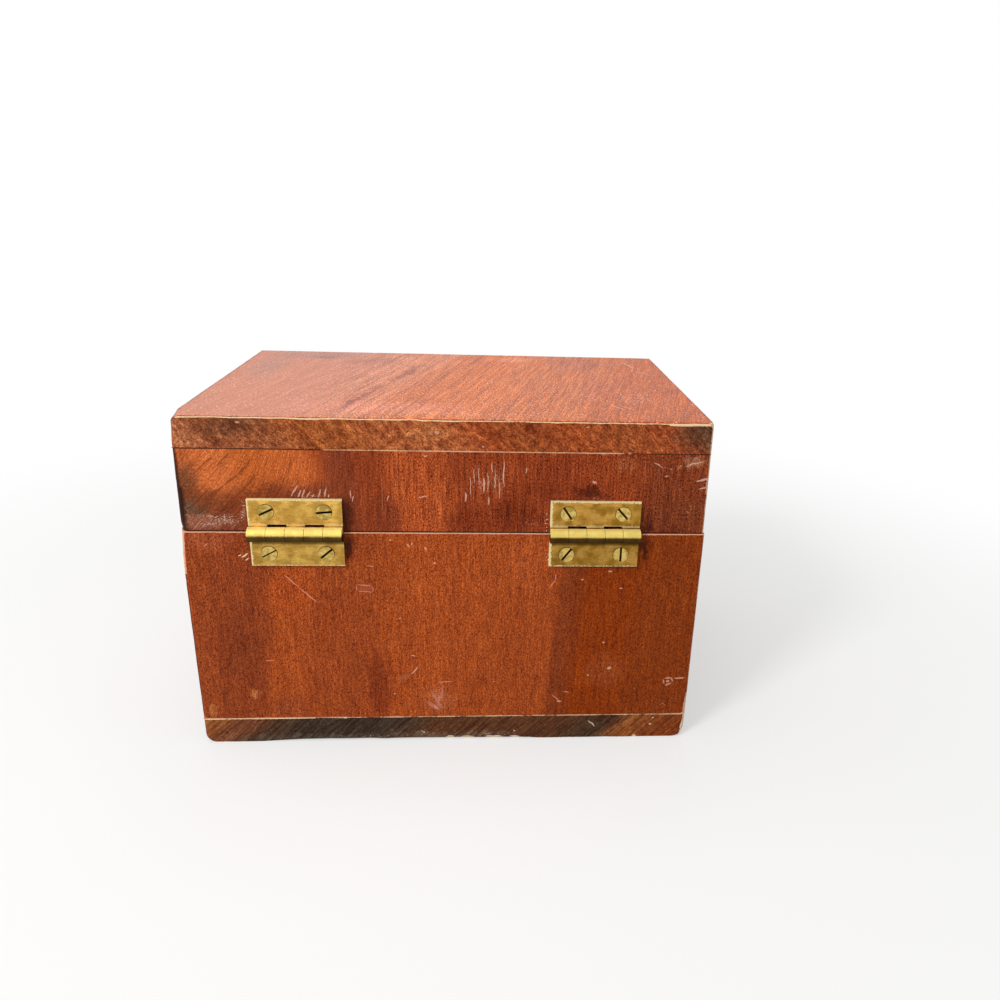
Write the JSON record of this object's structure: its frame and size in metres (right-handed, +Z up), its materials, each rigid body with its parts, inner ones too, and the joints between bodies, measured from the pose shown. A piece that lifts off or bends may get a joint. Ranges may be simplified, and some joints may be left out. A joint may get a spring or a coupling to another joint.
{
  "type": "recipe card box",
  "caption": "Small wooden card box: glued board walls, a lid sawn from the same box, and brass butt hinges screwed to the outside of its back.",
  "frame": {"origin": "middle of the underside of the bottom board, on the surface that the box stands on", "axes": "+X towards the right as seen from the front, +Y towards the back with the hinges, +Z up"},
  "size_m": [0.146, 0.0994, 0.1016],
  "materials": {
    "box_wood": "lacquered red-brown walnut, worn at the edges",
    "end_grain_wood": "lacquered walnut board with end grain at front and back",
    "hinge_brass": "rolled sheet brass, tarnished satin",
    "screw_brass": "turned brass, tarnished satin"
  },
  "bodies": {
    "base": {"bottom_board": "end_grain_wood", "base_front": "box_wood", "base_back": "box_wood", "base_left": "box_wood", "base_right": "box_wood", "left_hinge_base_leaf": "hinge_brass", "right_hinge_base_leaf": "hinge_brass", "left_hinge_base_screw_outer": "screw_brass", "left_hinge_base_screw_inner": "screw_brass", "right_hinge_base_screw_outer": "screw_brass", "right_hinge_base_screw_inner": "screw_brass"},
    "lid": {"top_board": "end_grain_wood", "lid_front": "box_wood", "lid_back": "box_wood", "lid_left": "box_wood", "lid_right": "box_wood", "left_hinge_lid_leaf": "hinge_brass", "left_hinge_pin": "hinge_brass", "right_hinge_lid_leaf": "hinge_brass", "right_hinge_pin": "hinge_brass", "left_hinge_lid_screw_outer": "screw_brass", "left_hinge_lid_screw_inner": "screw_brass", "right_hinge_lid_screw_outer": "screw_brass", "right_hinge_lid_screw_inner": "screw_brass"}
  },
  "joints": [
    {"name": "lid_hinge", "type": "hinge", "parent": "base", "child": "lid", "pos_m": [0, 0.04975, 0.069], "axis": [-1, 0, 0], "range_deg": [0, 186]}
  ]
}
